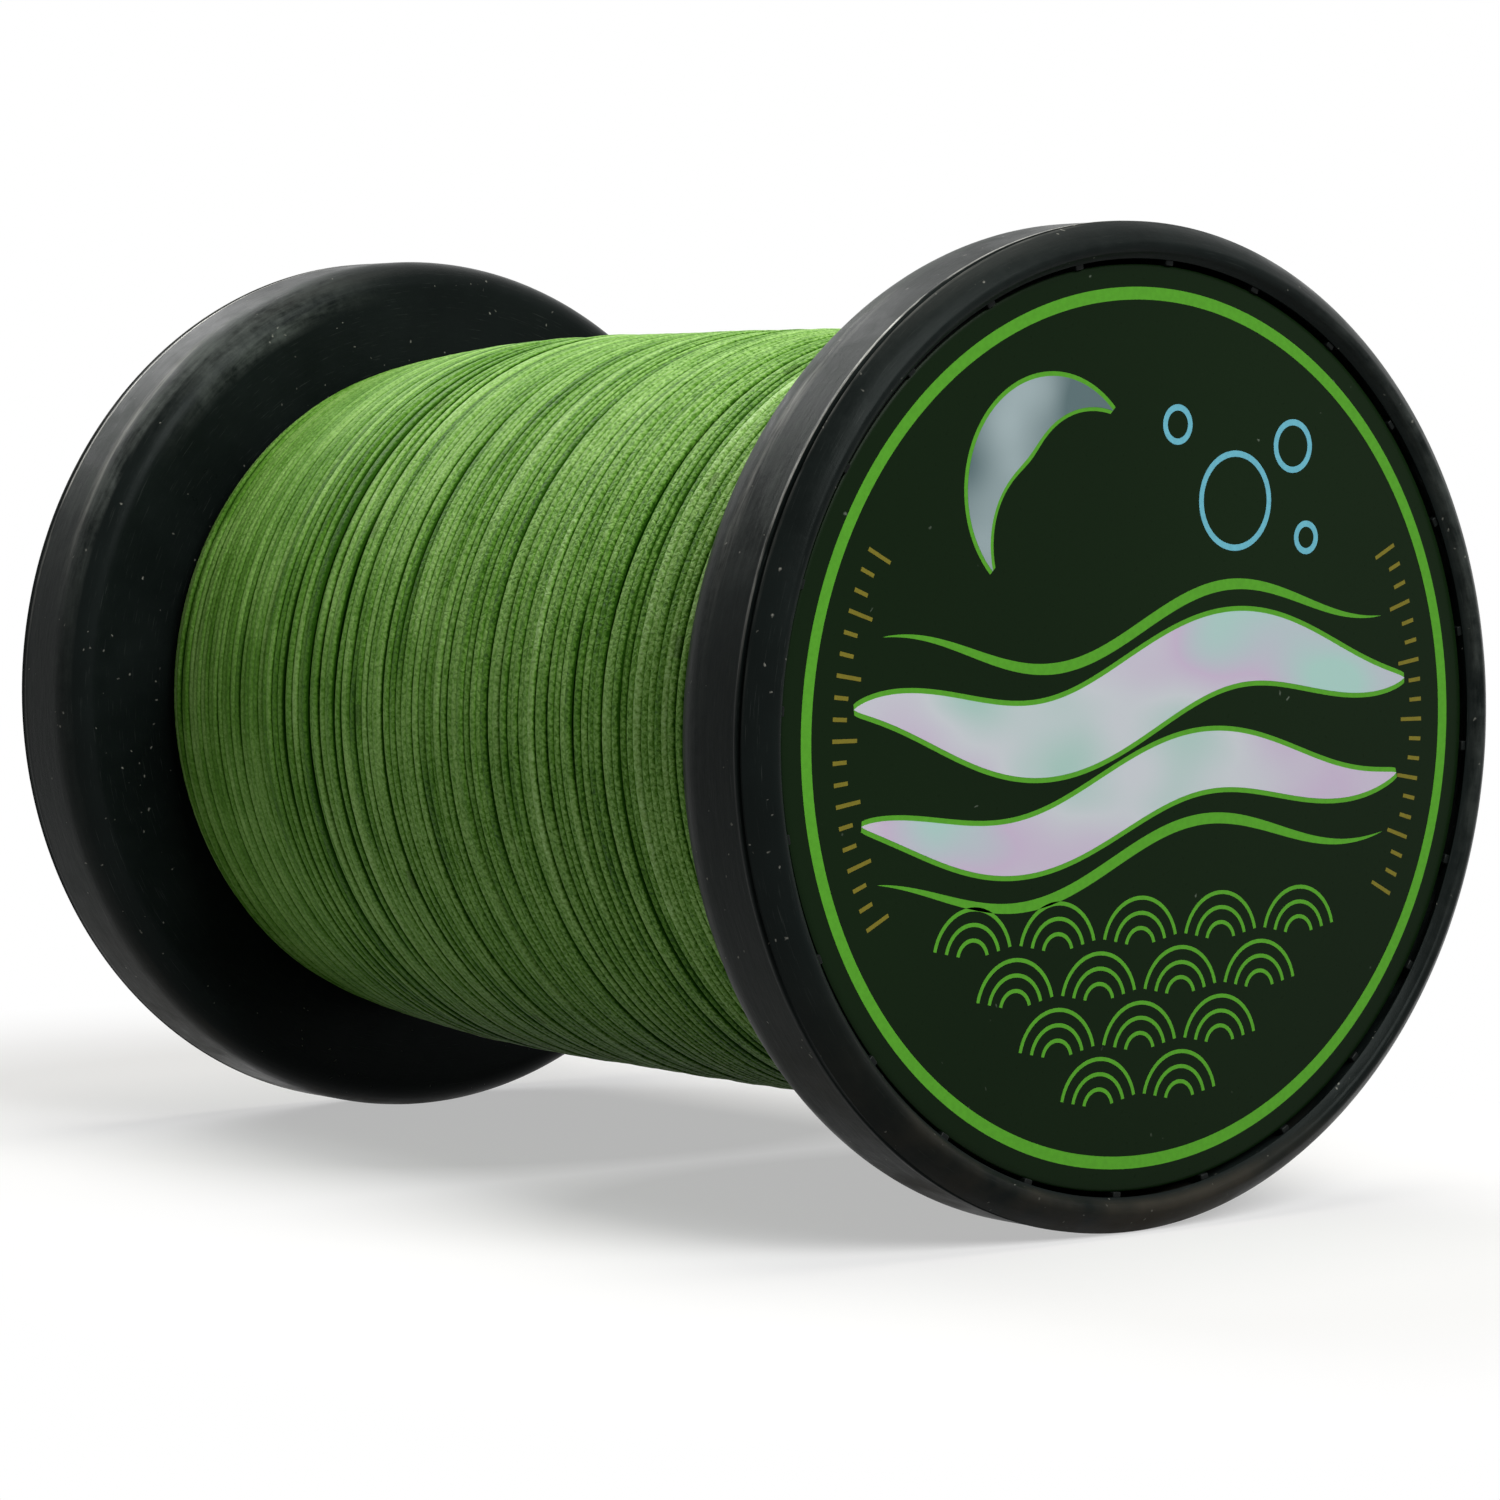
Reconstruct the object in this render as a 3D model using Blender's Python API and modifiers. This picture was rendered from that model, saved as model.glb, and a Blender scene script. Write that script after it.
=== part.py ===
"""Bulk spool of braided fishing line.

Two moulded flanges press onto the ends of a barrel, a tube down the middle guides a spindle, and
a push-fit disc with a printed film closes the outer side of each flange. The line lies between
the flanges.

Frame: metres, +Z up. The spool's axis is Y, its front faces -Y, and the origin is on the axis at
mid width. Depths are measured from a flange's outer plane towards the middle of the spool.
"""

import math

import bmesh
import bpy
import numpy as np
from mathutils import Matrix

MM = 0.001

# Whole spool
FLANGE_RADIUS = 50.0 * MM
SPOOL_WIDTH = 135.0 * MM

# Clearances
SEAT_GAP = 0.3 * MM
FILM_GAP = 0.1 * MM

# Flange rim, measured inwards from its outer plane and its outer side
RIM_DEPTH = 13.5 * MM
RIM_WALL = 3.8 * MM
CREST_WIDTH = 0.8 * MM
NOSE_DEPTH = 2.3 * MM
NOSE_INSET = 2.3 * MM
NOSE_BULGE = 0.15 * MM
LIP_DEPTH = 1.15 * MM
GROOVE_WIDTH = 0.5 * MM
GROOVE_DEPTH = 0.35 * MM
SHOULDER_DEPTH = 4.2 * MM
SHOULDER_INSET = 3.2 * MM

# Flange web and its ribs
WEB_THICKNESS = 2.0 * MM
CATCH_RING_WALL = 1.2 * MM
RIB_COUNT = 24
RIB_SPAN = 9.0 * MM
RIB_THICKNESS = 1.4 * MM
RIB_DROP = 0.3 * MM
BRIDGE_SPAN = 0.4 * MM
BRIDGE_WIDTH = 1.0 * MM
SPOKE_COUNT = 6
SPOKE_THICKNESS = 1.6 * MM
SPOKE_HEIGHT = 1.6 * MM

# Cover disc and its film
COVER_RECESS = 1.5 * MM
LABEL_THICKNESS = 0.25 * MM
COVER_THICKNESS = 1.5 * MM
PLUG_WALL = 1.4 * MM
EDGE_ROUND = 0.3 * MM

# Barrel and spindle tube
BARREL_RADIUS = 27.0 * MM
BARREL_WALL = 2.0 * MM
SPIGOT_WALL = 2.0 * MM
SPIGOT_LENGTH = 5.0 * MM
BORE_RADIUS = 8.0 * MM
TUBE_WALL = 1.5 * MM
HUB_WALL = 2.0 * MM
SOCKET_LENGTH = 8.0 * MM

# Line
LINE_DEPTH = 13.7 * MM
LINE_END_DROP = 3.9 * MM
LINE_END_REACH = 42.7 * MM
TURN_DIAMETER = 3.8 * MM
TURN_GAP = 0.45 * MM
MOST_TURNS = 24
POINTS_PER_TURN = 24
LINE_START_ANGLE = math.radians(250.0)
TAPE_THICKNESS = 0.25 * MM
TAPE_WIDTH = 12.0 * MM
TAPE_LENGTH = 20.0 * MM

# Fineness of the round surfaces
TURN_STEPS = 48
HALF_STEP = math.pi / TURN_STEPS
SHARP_ANGLE = math.radians(35.0)
CURVE_SHARES = (1 / 3, 2 / 3)
CORE_RINGS = 9
MERGE = 0.00001
OVERLAP = 0.3 * MM

# Places that follow from the sizes above
OUTER_PLANE = SPOOL_WIDTH / 2
RIM_INNER_RADIUS = FLANGE_RADIUS - RIM_WALL
WEB_OUTER_DEPTH = RIM_DEPTH - WEB_THICKNESS
CATCH_RING_RADIUS = RIM_INNER_RADIUS - RIB_SPAN
COVER_RADIUS = RIM_INNER_RADIUS - BRIDGE_SPAN - SEAT_GAP
COVER_TOP_DEPTH = COVER_RECESS + LABEL_THICKNESS + FILM_GAP
COVER_UNDER_DEPTH = COVER_TOP_DEPTH + COVER_THICKNESS
SEAT_DEPTH = COVER_UNDER_DEPTH + SEAT_GAP
SPOKE_TOP_DEPTH = WEB_OUTER_DEPTH - SPOKE_HEIGHT
PLUG_DEPTH = SPOKE_TOP_DEPTH - SEAT_GAP
PLUG_RADIUS = CATCH_RING_RADIUS - CATCH_RING_WALL - SEAT_GAP
SPIGOT_RADIUS = BARREL_RADIUS - BARREL_WALL - SEAT_GAP
TUBE_RADIUS = BORE_RADIUS + TUBE_WALL
SOCKET_RADIUS = TUBE_RADIUS + SEAT_GAP
HUB_RADIUS = BORE_RADIUS + HUB_WALL
WINDING_HALF = OUTER_PLANE - RIM_DEPTH - SEAT_GAP
WINDING_RADIUS = BARREL_RADIUS + LINE_DEPTH
WINDING_REACH = WINDING_HALF - TURN_DIAMETER / 2
CORE_INNER_RADIUS = BARREL_RADIUS + FILM_GAP + TAPE_THICKNESS + SEAT_GAP
PATH_FACET_SHARE = math.cos(math.pi / POINTS_PER_TURN)

PARTS_NAME = "fishing_line_spool"
TOOLS_NAME = "cutters_and_guides"


def clear_scene():
    """Remove everything that the scene starts with."""
    for thing in list(bpy.data.objects):
        bpy.data.objects.remove(thing, do_unlink=True)


def new_collection(name):
    """Make a collection under the scene."""
    made = bpy.data.collections.new(name)
    bpy.context.scene.collection.children.link(made)
    return made


def new_material(name, colour, roughness):
    """Make a plain Principled material."""
    made = bpy.data.materials.new(name)
    made.use_nodes = True
    shader = made.node_tree.nodes["Principled BSDF"]
    shader.inputs["Base Color"].default_value = (*colour, 1.0)
    shader.inputs["Roughness"].default_value = roughness
    shader.inputs["Metallic"].default_value = 0.0
    made.diffuse_color = (*colour, 1.0)
    return made


def turned(name, outline, collection, closed=True):
    """Turn an outline of (radius, height) points round local Z.

    The outline runs down its outer side. An open one starts and ends on the axis.
    """
    mesh = bpy.data.meshes.new(name)
    points = [(radius, 0.0, height) for radius, height in outline]
    edges = [(i, i + 1) for i in range(len(points) - 1)]
    if closed:
        edges.append((len(points) - 1, 0))
    mesh.from_pydata(points, edges, [])
    thing = bpy.data.objects.new(name, mesh)
    collection.objects.link(thing)
    turn = thing.modifiers.new("turn", "SCREW")
    turn.axis = "Z"
    turn.angle = math.tau
    turn.steps = TURN_STEPS
    turn.render_steps = TURN_STEPS
    turn.use_merge_vertices = True
    turn.merge_threshold = MERGE
    return thing


def freeze(thing):
    """Replace an object's mesh by its evaluated one, with smooth round faces."""
    graph = bpy.context.evaluated_depsgraph_get()
    mesh = bpy.data.meshes.new_from_object(thing.evaluated_get(graph))
    mesh.name = thing.name
    thing.modifiers.clear()
    thing.data = mesh
    mesh.shade_smooth()
    mesh.set_sharp_from_angle(angle=SHARP_ANGLE)


def unite(thing, guide):
    """Join a guide's solids to an object."""
    join = thing.modifiers.new("join_" + guide.name, "BOOLEAN")
    join.operation = "UNION"
    join.object = guide


def radial_plates(name, count, inner, outer, thickness, top_depth, low_depth, collection):
    """Make equally spaced upright plates that run out from the axis, as one guide."""
    mesh = bpy.data.meshes.new(name)
    shape = bmesh.new()
    for index in range(count):
        made = bmesh.ops.create_cube(shape, size=1.0)["verts"]
        size = (outer - inner, thickness, low_depth - top_depth)
        bmesh.ops.scale(shape, vec=size, verts=made)
        middle = ((outer + inner) / 2, 0.0, -(low_depth + top_depth) / 2)
        bmesh.ops.translate(shape, vec=middle, verts=made)
        angle = math.tau * index / count
        bmesh.ops.rotate(shape, cent=(0, 0, 0), verts=made,
                         matrix=Matrix.Rotation(angle, 3, "Z"))
    shape.to_mesh(mesh)
    shape.free()
    guide = bpy.data.objects.new(name, mesh)
    guide.hide_render = True
    guide.display_type = "WIRE"
    collection.objects.link(guide)
    return guide


def face_outwards(thing, side):
    """Put a piece made with its outer plane at local Z = 0 on one end of the spool.

    side is -1 for the front and 1 for the rear. Half a step of turn puts a flat of the rim
    under the spool.
    """
    thing.location = (0.0, side * OUTER_PLANE, 0.0)
    thing.rotation_euler = (-side * math.pi / 2, HALF_STEP, 0.0)


def lie_along_axis(thing):
    """Turn a piece made round local Z onto the spool's axis."""
    thing.rotation_euler = (math.pi / 2, HALF_STEP, 0.0)


def rim_outline():
    """Outer part of the flange's section, from the crest's inner edge to the flat inner face."""
    crest_outer = FLANGE_RADIUS - NOSE_INSET
    outline = [(crest_outer - CREST_WIDTH, 0.0), (crest_outer, 0.0)]
    for share in CURVE_SHARES:
        bulge = NOSE_BULGE * math.sin(share * math.pi)
        outline.append((crest_outer + NOSE_INSET * share + bulge, -NOSE_DEPTH * share + bulge))
    outline.append((FLANGE_RADIUS, -NOSE_DEPTH))
    outline.append((FLANGE_RADIUS - GROOVE_DEPTH, -NOSE_DEPTH - GROOVE_WIDTH / 2))
    outline.append((FLANGE_RADIUS, -NOSE_DEPTH - GROOVE_WIDTH))
    shoulder_start = RIM_DEPTH - SHOULDER_DEPTH
    outline.append((FLANGE_RADIUS, -shoulder_start))
    for share in CURVE_SHARES:
        angle = share * math.pi / 2
        outline.append((FLANGE_RADIUS - SHOULDER_INSET * (1 - math.cos(angle)),
                        -shoulder_start - SHOULDER_DEPTH * math.sin(angle)))
    outline.append((FLANGE_RADIUS - SHOULDER_INSET, -RIM_DEPTH))
    return outline


def flange_outline():
    """Whole section of the flange: rim, spigot, socket, bore, hub, web and catch ring."""
    outline = rim_outline()
    outline += [
        (SPIGOT_RADIUS, -RIM_DEPTH),
        (SPIGOT_RADIUS, -RIM_DEPTH - SPIGOT_LENGTH),
        (SPIGOT_RADIUS - SPIGOT_WALL, -RIM_DEPTH - SPIGOT_LENGTH),
        (SPIGOT_RADIUS - SPIGOT_WALL, -RIM_DEPTH),
        (SOCKET_RADIUS + HUB_WALL, -RIM_DEPTH),
        (SOCKET_RADIUS + HUB_WALL, -RIM_DEPTH - SOCKET_LENGTH),
        (SOCKET_RADIUS, -RIM_DEPTH - SOCKET_LENGTH),
        (SOCKET_RADIUS, -RIM_DEPTH),
        (BORE_RADIUS, -RIM_DEPTH),
        (BORE_RADIUS, -SEAT_DEPTH),
        (HUB_RADIUS, -SEAT_DEPTH),
        (HUB_RADIUS, -WEB_OUTER_DEPTH),
        (CATCH_RING_RADIUS - CATCH_RING_WALL, -WEB_OUTER_DEPTH),
        (CATCH_RING_RADIUS - CATCH_RING_WALL, -SEAT_DEPTH),
        (CATCH_RING_RADIUS, -SEAT_DEPTH),
        (CATCH_RING_RADIUS, -WEB_OUTER_DEPTH),
        (RIM_INNER_RADIUS, -WEB_OUTER_DEPTH),
        (RIM_INNER_RADIUS, -LIP_DEPTH),
    ]
    return outline


def make_flange(name, side, material, parts, tools):
    """Moulded flange: turned body, 24 outer ribs with their bridges, and low spokes."""
    flange = turned(name, flange_outline(), parts)
    ribs = radial_plates(name + "_ribs", RIB_COUNT, CATCH_RING_RADIUS - CATCH_RING_WALL / 2,
                         RIM_INNER_RADIUS + OVERLAP, RIB_THICKNESS, SEAT_DEPTH + RIB_DROP,
                         WEB_OUTER_DEPTH + OVERLAP, tools)
    bridges = radial_plates(name + "_bridges", RIB_COUNT, RIM_INNER_RADIUS - BRIDGE_SPAN,
                            RIM_INNER_RADIUS + 2 * OVERLAP, BRIDGE_WIDTH,
                            LIP_DEPTH + 2 * OVERLAP, SEAT_DEPTH + RIB_DROP + OVERLAP, tools)
    spokes = radial_plates(name + "_spokes", SPOKE_COUNT, HUB_RADIUS - HUB_WALL / 2,
                           CATCH_RING_RADIUS - CATCH_RING_WALL / 2, SPOKE_THICKNESS,
                           SPOKE_TOP_DEPTH, WEB_OUTER_DEPTH + OVERLAP, tools)
    for guide in (ribs, bridges, spokes):
        unite(flange, guide)
    freeze(flange)
    flange.data.materials.append(material)
    face_outwards(flange, side)
    return flange


def make_cover(name, side, material, parts):
    """Push-fit disc: flat plate with a plug ring that enters the flange's catch ring."""
    outline = [
        (0.0, -COVER_TOP_DEPTH),
        (COVER_RADIUS - EDGE_ROUND, -COVER_TOP_DEPTH),
        (COVER_RADIUS, -COVER_TOP_DEPTH - EDGE_ROUND),
        (COVER_RADIUS, -COVER_UNDER_DEPTH),
        (PLUG_RADIUS, -COVER_UNDER_DEPTH),
        (PLUG_RADIUS, -PLUG_DEPTH + EDGE_ROUND),
        (PLUG_RADIUS - EDGE_ROUND, -PLUG_DEPTH),
        (PLUG_RADIUS - PLUG_WALL, -PLUG_DEPTH),
        (PLUG_RADIUS - PLUG_WALL, -COVER_UNDER_DEPTH),
        (0.0, -COVER_UNDER_DEPTH),
    ]
    cover = turned(name, outline, parts, closed=False)
    freeze(cover)
    cover.data.materials.append(material)
    face_outwards(cover, side)
    return cover


def make_label(name, side, material, parts):
    """Printed film that covers the disc."""
    outline = [
        (0.0, -COVER_RECESS),
        (COVER_RADIUS, -COVER_RECESS),
        (COVER_RADIUS, -COVER_RECESS - LABEL_THICKNESS),
        (0.0, -COVER_RECESS - LABEL_THICKNESS),
    ]
    label = turned(name, outline, parts, closed=False)
    freeze(label)
    label.data.materials.append(material)
    face_outwards(label, side)
    return label


def make_pipe(name, outer, inner, half_length, material, parts):
    """Plain pipe on the spool's axis."""
    outline = [(outer, half_length), (outer, -half_length),
               (inner, -half_length), (inner, half_length)]
    pipe = turned(name, outline, parts)
    freeze(pipe)
    pipe.data.materials.append(material)
    lie_along_axis(pipe)
    return pipe


def make_anchor_tape(material, parts, tools):
    """Strip of tape round part of the barrel, cut from a thin ring by a block."""
    inner = BARREL_RADIUS + FILM_GAP
    outer = inner + TAPE_THICKNESS
    half_width = TAPE_WIDTH / 2
    outline = [(outer, half_width), (outer, -half_width),
               (inner, -half_width), (inner, half_width)]
    tape = turned("anchor_tape", outline, parts)
    mesh = bpy.data.meshes.new("tape_block")
    shape = bmesh.new()
    bmesh.ops.create_cube(shape, size=1.0)
    bmesh.ops.scale(shape, vec=(TAPE_LENGTH, 2 * outer, 2 * TAPE_WIDTH), verts=shape.verts)
    bmesh.ops.translate(shape, vec=(0.0, outer, 0.0), verts=shape.verts)
    shape.to_mesh(mesh)
    shape.free()
    block = bpy.data.objects.new("tape_block", mesh)
    block.hide_render = True
    block.display_type = "WIRE"
    tools.objects.link(block)
    keep = tape.modifiers.new("keep_strip", "BOOLEAN")
    keep.operation = "INTERSECT"
    keep.object = block
    freeze(tape)
    tape.data.materials.append(material)
    lie_along_axis(tape)
    return tape


def path_radius(place):
    """Radius of the outer layer's centre line, which drops towards the flanges."""
    from_end = min(WINDING_HALF - abs(place), LINE_END_REACH)
    along = 1 - from_end / LINE_END_REACH
    drop = LINE_END_DROP * (1 - math.sqrt(1 - along * along))
    return WINDING_RADIUS - drop - TURN_DIAMETER / 2


def make_line_core(material, parts):
    """Inner layers of line as one thick sleeve that stays clear of the outer layer."""
    places = np.linspace(WINDING_HALF, -WINDING_HALF, CORE_RINGS)
    outline = []
    for place in places:
        beside = min(abs(place) + TURN_DIAMETER / 2, WINDING_REACH)
        outer = path_radius(beside) * PATH_FACET_SHARE - TURN_DIAMETER / 2 - SEAT_GAP
        outline.append((outer, place))
    outline += [(CORE_INNER_RADIUS, -WINDING_HALF), (CORE_INNER_RADIUS, WINDING_HALF)]
    core = turned("line_core", outline, parts)
    freeze(core)
    core.data.materials.append(material)
    lie_along_axis(core)
    return core


def winding_points():
    """Centre line of the outer layer: an even helix between the flanges, with straight ends."""
    room = 2 * WINDING_REACH
    turns = min(MOST_TURNS, int(room / (TURN_DIAMETER + TURN_GAP)))
    count = turns * POINTS_PER_TURN
    angles = LINE_START_ANGLE + math.tau * turns * np.arange(count + 1) / count
    places = -WINDING_REACH + room * np.arange(count + 1) / count
    radii = np.array([path_radius(place) for place in places])
    points = np.column_stack([radii * np.cos(angles), places, radii * np.sin(angles)])
    run_out = []
    for index, way in ((0, -1.0), (-1, 1.0)):
        tangent = np.array([-math.sin(angles[index]), 0.0, math.cos(angles[index])])
        run_out.append(points[index] + way * TURN_DIAMETER * tangent)
    return np.vstack([run_out[0], points, run_out[1]])


def least_self_gap(points):
    """Least clear distance between stretches of the tube at least half a turn apart."""
    apart = POINTS_PER_TURN // 2
    least = math.inf
    for index in range(len(points) - apart):
        away = np.linalg.norm(points[index + apart:] - points[index], axis=1).min()
        least = min(least, away)
    return least - TURN_DIAMETER


def make_outer_turns(material, parts):
    """Outer layer of line as one unbroken tube."""
    points = winding_points()
    print("line_outer_turns: least gap to itself %.2f mm" % (least_self_gap(points) / MM))
    curve = bpy.data.curves.new("line_outer_turns", "CURVE")
    curve.dimensions = "3D"
    curve.bevel_depth = TURN_DIAMETER / 2
    curve.bevel_resolution = 1
    curve.use_fill_caps = True
    spline = curve.splines.new("POLY")
    spline.points.add(len(points) - 1)
    for place, point in zip(spline.points, points):
        place.co = (*point, 1.0)
    turns = bpy.data.objects.new("line_outer_turns", curve)
    curve.materials.append(material)
    parts.objects.link(turns)
    return turns


def build():
    """Build every piece of the spool."""
    clear_scene()
    parts = new_collection(PARTS_NAME)
    tools = new_collection(TOOLS_NAME)
    black = new_material("black_plastic", (0.012, 0.013, 0.014), 0.32)
    cover_black = new_material("cover_plastic", (0.016, 0.017, 0.017), 0.45)
    barrel_grey = new_material("barrel_plastic", (0.02, 0.021, 0.022), 0.5)
    film = new_material("label_film", (0.008, 0.022, 0.012), 0.25)
    line_green = new_material("line_green", (0.085, 0.28, 0.035), 0.6)
    inner_green = new_material("inner_line_green", (0.06, 0.2, 0.028), 0.7)
    tape_cream = new_material("tape_cream", (0.62, 0.53, 0.36), 0.8)

    for place, side in (("front", -1), ("rear", 1)):
        make_flange(place + "_flange", side, black, parts, tools)
        make_cover(place + "_cover", side, cover_black, parts)
        make_label(place + "_label", side, film, parts)
    make_pipe("barrel", BARREL_RADIUS, BARREL_RADIUS - BARREL_WALL, WINDING_HALF,
              barrel_grey, parts)
    make_pipe("spindle_tube", TUBE_RADIUS, BORE_RADIUS, WINDING_HALF, barrel_grey, parts)
    make_line_core(inner_green, parts)
    make_anchor_tape(tape_cream, parts, tools)
    make_outer_turns(line_green, parts)


build()
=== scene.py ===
"""Looks of the line spool: moulded black flanges, printed films and a full winding of braid.

Metres, +Z up. The spool's axis is Y and its front faces -Y. Depths are measured from a flange's
outer plane towards the middle of the spool. Angles round the axis start at +X and rise to +Z.
"""

import math

import bmesh
import bpy
import numpy as np
from mathutils import Matrix, Vector


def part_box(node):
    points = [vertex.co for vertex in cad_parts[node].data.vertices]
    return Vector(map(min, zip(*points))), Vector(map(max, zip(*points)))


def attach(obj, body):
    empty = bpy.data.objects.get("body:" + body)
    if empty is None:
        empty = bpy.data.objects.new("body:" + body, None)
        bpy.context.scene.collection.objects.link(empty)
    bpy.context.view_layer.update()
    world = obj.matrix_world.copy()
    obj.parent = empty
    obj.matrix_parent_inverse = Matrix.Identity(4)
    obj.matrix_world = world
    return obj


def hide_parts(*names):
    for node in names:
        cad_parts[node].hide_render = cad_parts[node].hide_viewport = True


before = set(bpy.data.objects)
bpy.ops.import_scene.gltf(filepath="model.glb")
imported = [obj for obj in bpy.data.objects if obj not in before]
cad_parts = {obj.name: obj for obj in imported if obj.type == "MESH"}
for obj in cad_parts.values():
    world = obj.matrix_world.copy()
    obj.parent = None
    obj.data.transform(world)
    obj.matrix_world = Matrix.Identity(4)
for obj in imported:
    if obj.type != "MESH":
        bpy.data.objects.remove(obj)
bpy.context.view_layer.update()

MM = 0.001

# Sizes taken from the frame
FLANGE_LOW, FLANGE_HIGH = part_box("front_flange")
REAR_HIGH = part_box("rear_flange")[1]
COVER_LOW, COVER_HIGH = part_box("front_cover")
LABEL_LOW, LABEL_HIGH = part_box("front_label")
CORE_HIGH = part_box("line_core")[1]
TURNS_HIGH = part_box("line_outer_turns")[1]
FLANGE_RADIUS = FLANGE_HIGH[2]
OUTER_PLANE = REAR_HIGH[1]
COVER_RADIUS = COVER_HIGH[2]
COVER_RECESS = LABEL_LOW[1] - FLANGE_LOW[1]
COVER_TOP_DEPTH = COVER_LOW[1] - FLANGE_LOW[1]
COVER_PLUG_DEPTH = COVER_HIGH[1] - FLANGE_LOW[1]
LABEL_THICKNESS = LABEL_HIGH[1] - LABEL_LOW[1]
WINDING_HALF = CORE_HIGH[1]
WINDING_RADIUS = TURNS_HIGH[2]
CORE_RADIUS = CORE_HIGH[2]
FLOOR_HEIGHT = FLANGE_LOW[2]

# Shared by the shapes
SEAT_GAP = 0.3 * MM
EDGE_ROUND = 0.3 * MM
OVERLAP = 0.5 * MM
CENTRE_RADIUS = 0.02 * MM       # where a full disc's section starts, just off the axis
ROUND_STEPS = 288
SHARP_ANGLE = math.radians(32.0)
SEED = 11

# Flange section. The rim's own sizes are read from the photograph.
RIM_DEPTH = OUTER_PLANE - WINDING_HALF - SEAT_GAP
RIM_WALL = 3.75 * MM
CREST_INSET = 2.45 * MM
CREST_ROUND = 0.55 * MM
CREST_SPREAD = 0.75 * MM
NOSE_DEPTH = 2.25 * MM
NOSE_BULGE = 0.14 * MM
LIP_DEPTH = 1.15 * MM
LIP_ROUND = 0.15 * MM
LIP_HEIGHT = 1.2 * MM
GROOVE_WIDTH = 0.75 * MM
GROOVE_DEPTH = 0.60 * MM
GROOVE_SECTION = ((0.75, 0.15), (1.0, 0.5), (0.75, 0.85))       # shares of its depth and width
FLASH_HEIGHT = 0.05 * MM
FLASH_SPAN = (0.08 * MM, 0.32 * MM)                             # beyond the groove
FLASH_FOOT = (0.42 * MM, 0.56 * MM)
SIDE_START = 4.0 * MM
SHOULDER_DEPTH = 4.2 * MM
SHOULDER_INSET = 3.2 * MM
FACE_SPAN = (45.0 * MM, 36.0 * MM)
WEB_THICKNESS = 2.0 * MM
BORE_RADIUS = 8.0 * MM
HUB_WALL = 2.0 * MM
CATCH_RING_RADIUS = 37.2 * MM
CATCH_RING_WALL = 1.2 * MM
BRIDGE_COUNT = 24
BRIDGE_WIDTH = 1.0 * MM
BRIDGE_TURN = math.radians(11.25)
BRIDGE_CLEARANCE = 0.03 * MM
BRIDGE_DROP = 0.1 * MM
BRIDGE_ROOT = 0.2 * MM
RIB_WIDTH = 1.4 * MM
SPOKE_COUNT = 6
SPOKE_WIDTH = 1.6 * MM
SPOKE_HEIGHT = 1.6 * MM
PLATE_ROUND = 0.12 * MM
SIDE_RADIUS = FLANGE_RADIUS - FLASH_HEIGHT
RIM_INNER_RADIUS = FLANGE_RADIUS - RIM_WALL
WEB_OUTER_DEPTH = RIM_DEPTH - WEB_THICKNESS

# Wear and painted highlights of the rim. A zone has a least and a most depth and how far it
# reaches in from the edge.
RIM_ZONES = {
    "side": (3.3 * MM, 12.0 * MM, 1.3 * MM),
    "inner_side": (8.0 * MM, 12.0 * MM, 1.3 * MM),
    "shoulder": (8.9 * MM, RIM_DEPTH + SEAT_GAP, 4.3 * MM),
    "nose": (0.0, 2.4 * MM, 3.3 * MM),
    "nose_edge": (2.0 * MM, 2.3 * MM, 0.3 * MM),
    "flash": (3.03 * MM, 3.38 * MM, 0.4 * MM),
    "bend": (8.6 * MM, 9.4 * MM, 0.9 * MM),
}
# Mark, zone, strength, and its middle and spread in degrees round the rim
# On the upper left the marks on the side band and the nose are real scuffs lit further by a
# painted highlight, and the shoulder's mark is a painted highlight; the nose's mark at 18 degrees
# is a painted reflection that lightens its right side.
RIM_MARKS = (
    ("wear", "side", 0.55, 146.0, 24.0),
    ("wear", "inner_side", 0.25, 150.0, 50.0),
    ("wear", "shoulder", 0.75, 122.0, 26.0),
    ("wear", "nose", 0.05, 120.0, 60.0),
    ("wear", "nose", 0.50, 18.0, 64.0),
    # Painted highlights: along the flash line, along its edge on the nose and along the bend to
    # the shoulder.
    ("flash", "flash", 1.0, 128.0, 52.0),
    ("flash", "nose_edge", 0.15, 130.0, 55.0),
    ("flash", "bend", 0.30, 142.0, 28.0),
)
SIDE_WEAR = 0.04
LOW_PATCH_PLACE = (262.0, 62.0)     # middle and spread, in degrees, of the lighter brownish patches low on the nose
FAINT_PLACE = (222.0, 34.0)     # and of the stretch where the parting line is faint
GRAIN_HEIGHT = 0.10 * MM

# Cover disc
COVER_THICKNESS = 1.5 * MM
PLUG_RADIUS = 35.7 * MM
PLUG_WALL = 1.4 * MM
DISC_RADIUS = COVER_RADIUS + 0.2 * MM
COVER_CORNER = 0.08 * MM
FILM_EDGE = ((0.75, 0.0), (0.35, 0.03), (0.10, 0.08), (0.0, 0.15))  # millimetres in and down
COVER_UNDER_DEPTH = COVER_TOP_DEPTH + COVER_THICKNESS
SEAT_DEPTH = COVER_UNDER_DEPTH + SEAT_GAP
RIB_TOP_DEPTH = SEAT_DEPTH + SEAT_GAP

# Winding
LINE_WIDTH = 1.14 * MM
LINE_THICKNESS = 0.60 * MM
LINE_TURNS = 103
POINTS_PER_TURN = 112
LINE_SIDES = 12
LINE_START_ANGLE = math.radians(250.0)
LINE_END_DROP = 3.9 * MM        # how far the winding falls towards each flange
LINE_END_REACH = 42.7 * MM      # and over what length
LINE_SINK = 0.15 * MM
END_MARGIN = 0.45 * LINE_WIDTH
LINE_SQUARENESS = (0.8, 0.9)    # powers that fill out the flattened section, across and through
YARN_PITCHES = (6.9, 9.1)       # radians for each millimetre of line, for the two crossing ways
YARN_FADE = (-0.045, 0.035, 1.0, 0.45)  # from one Y to another, the yarns' contrast falls so far
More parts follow.
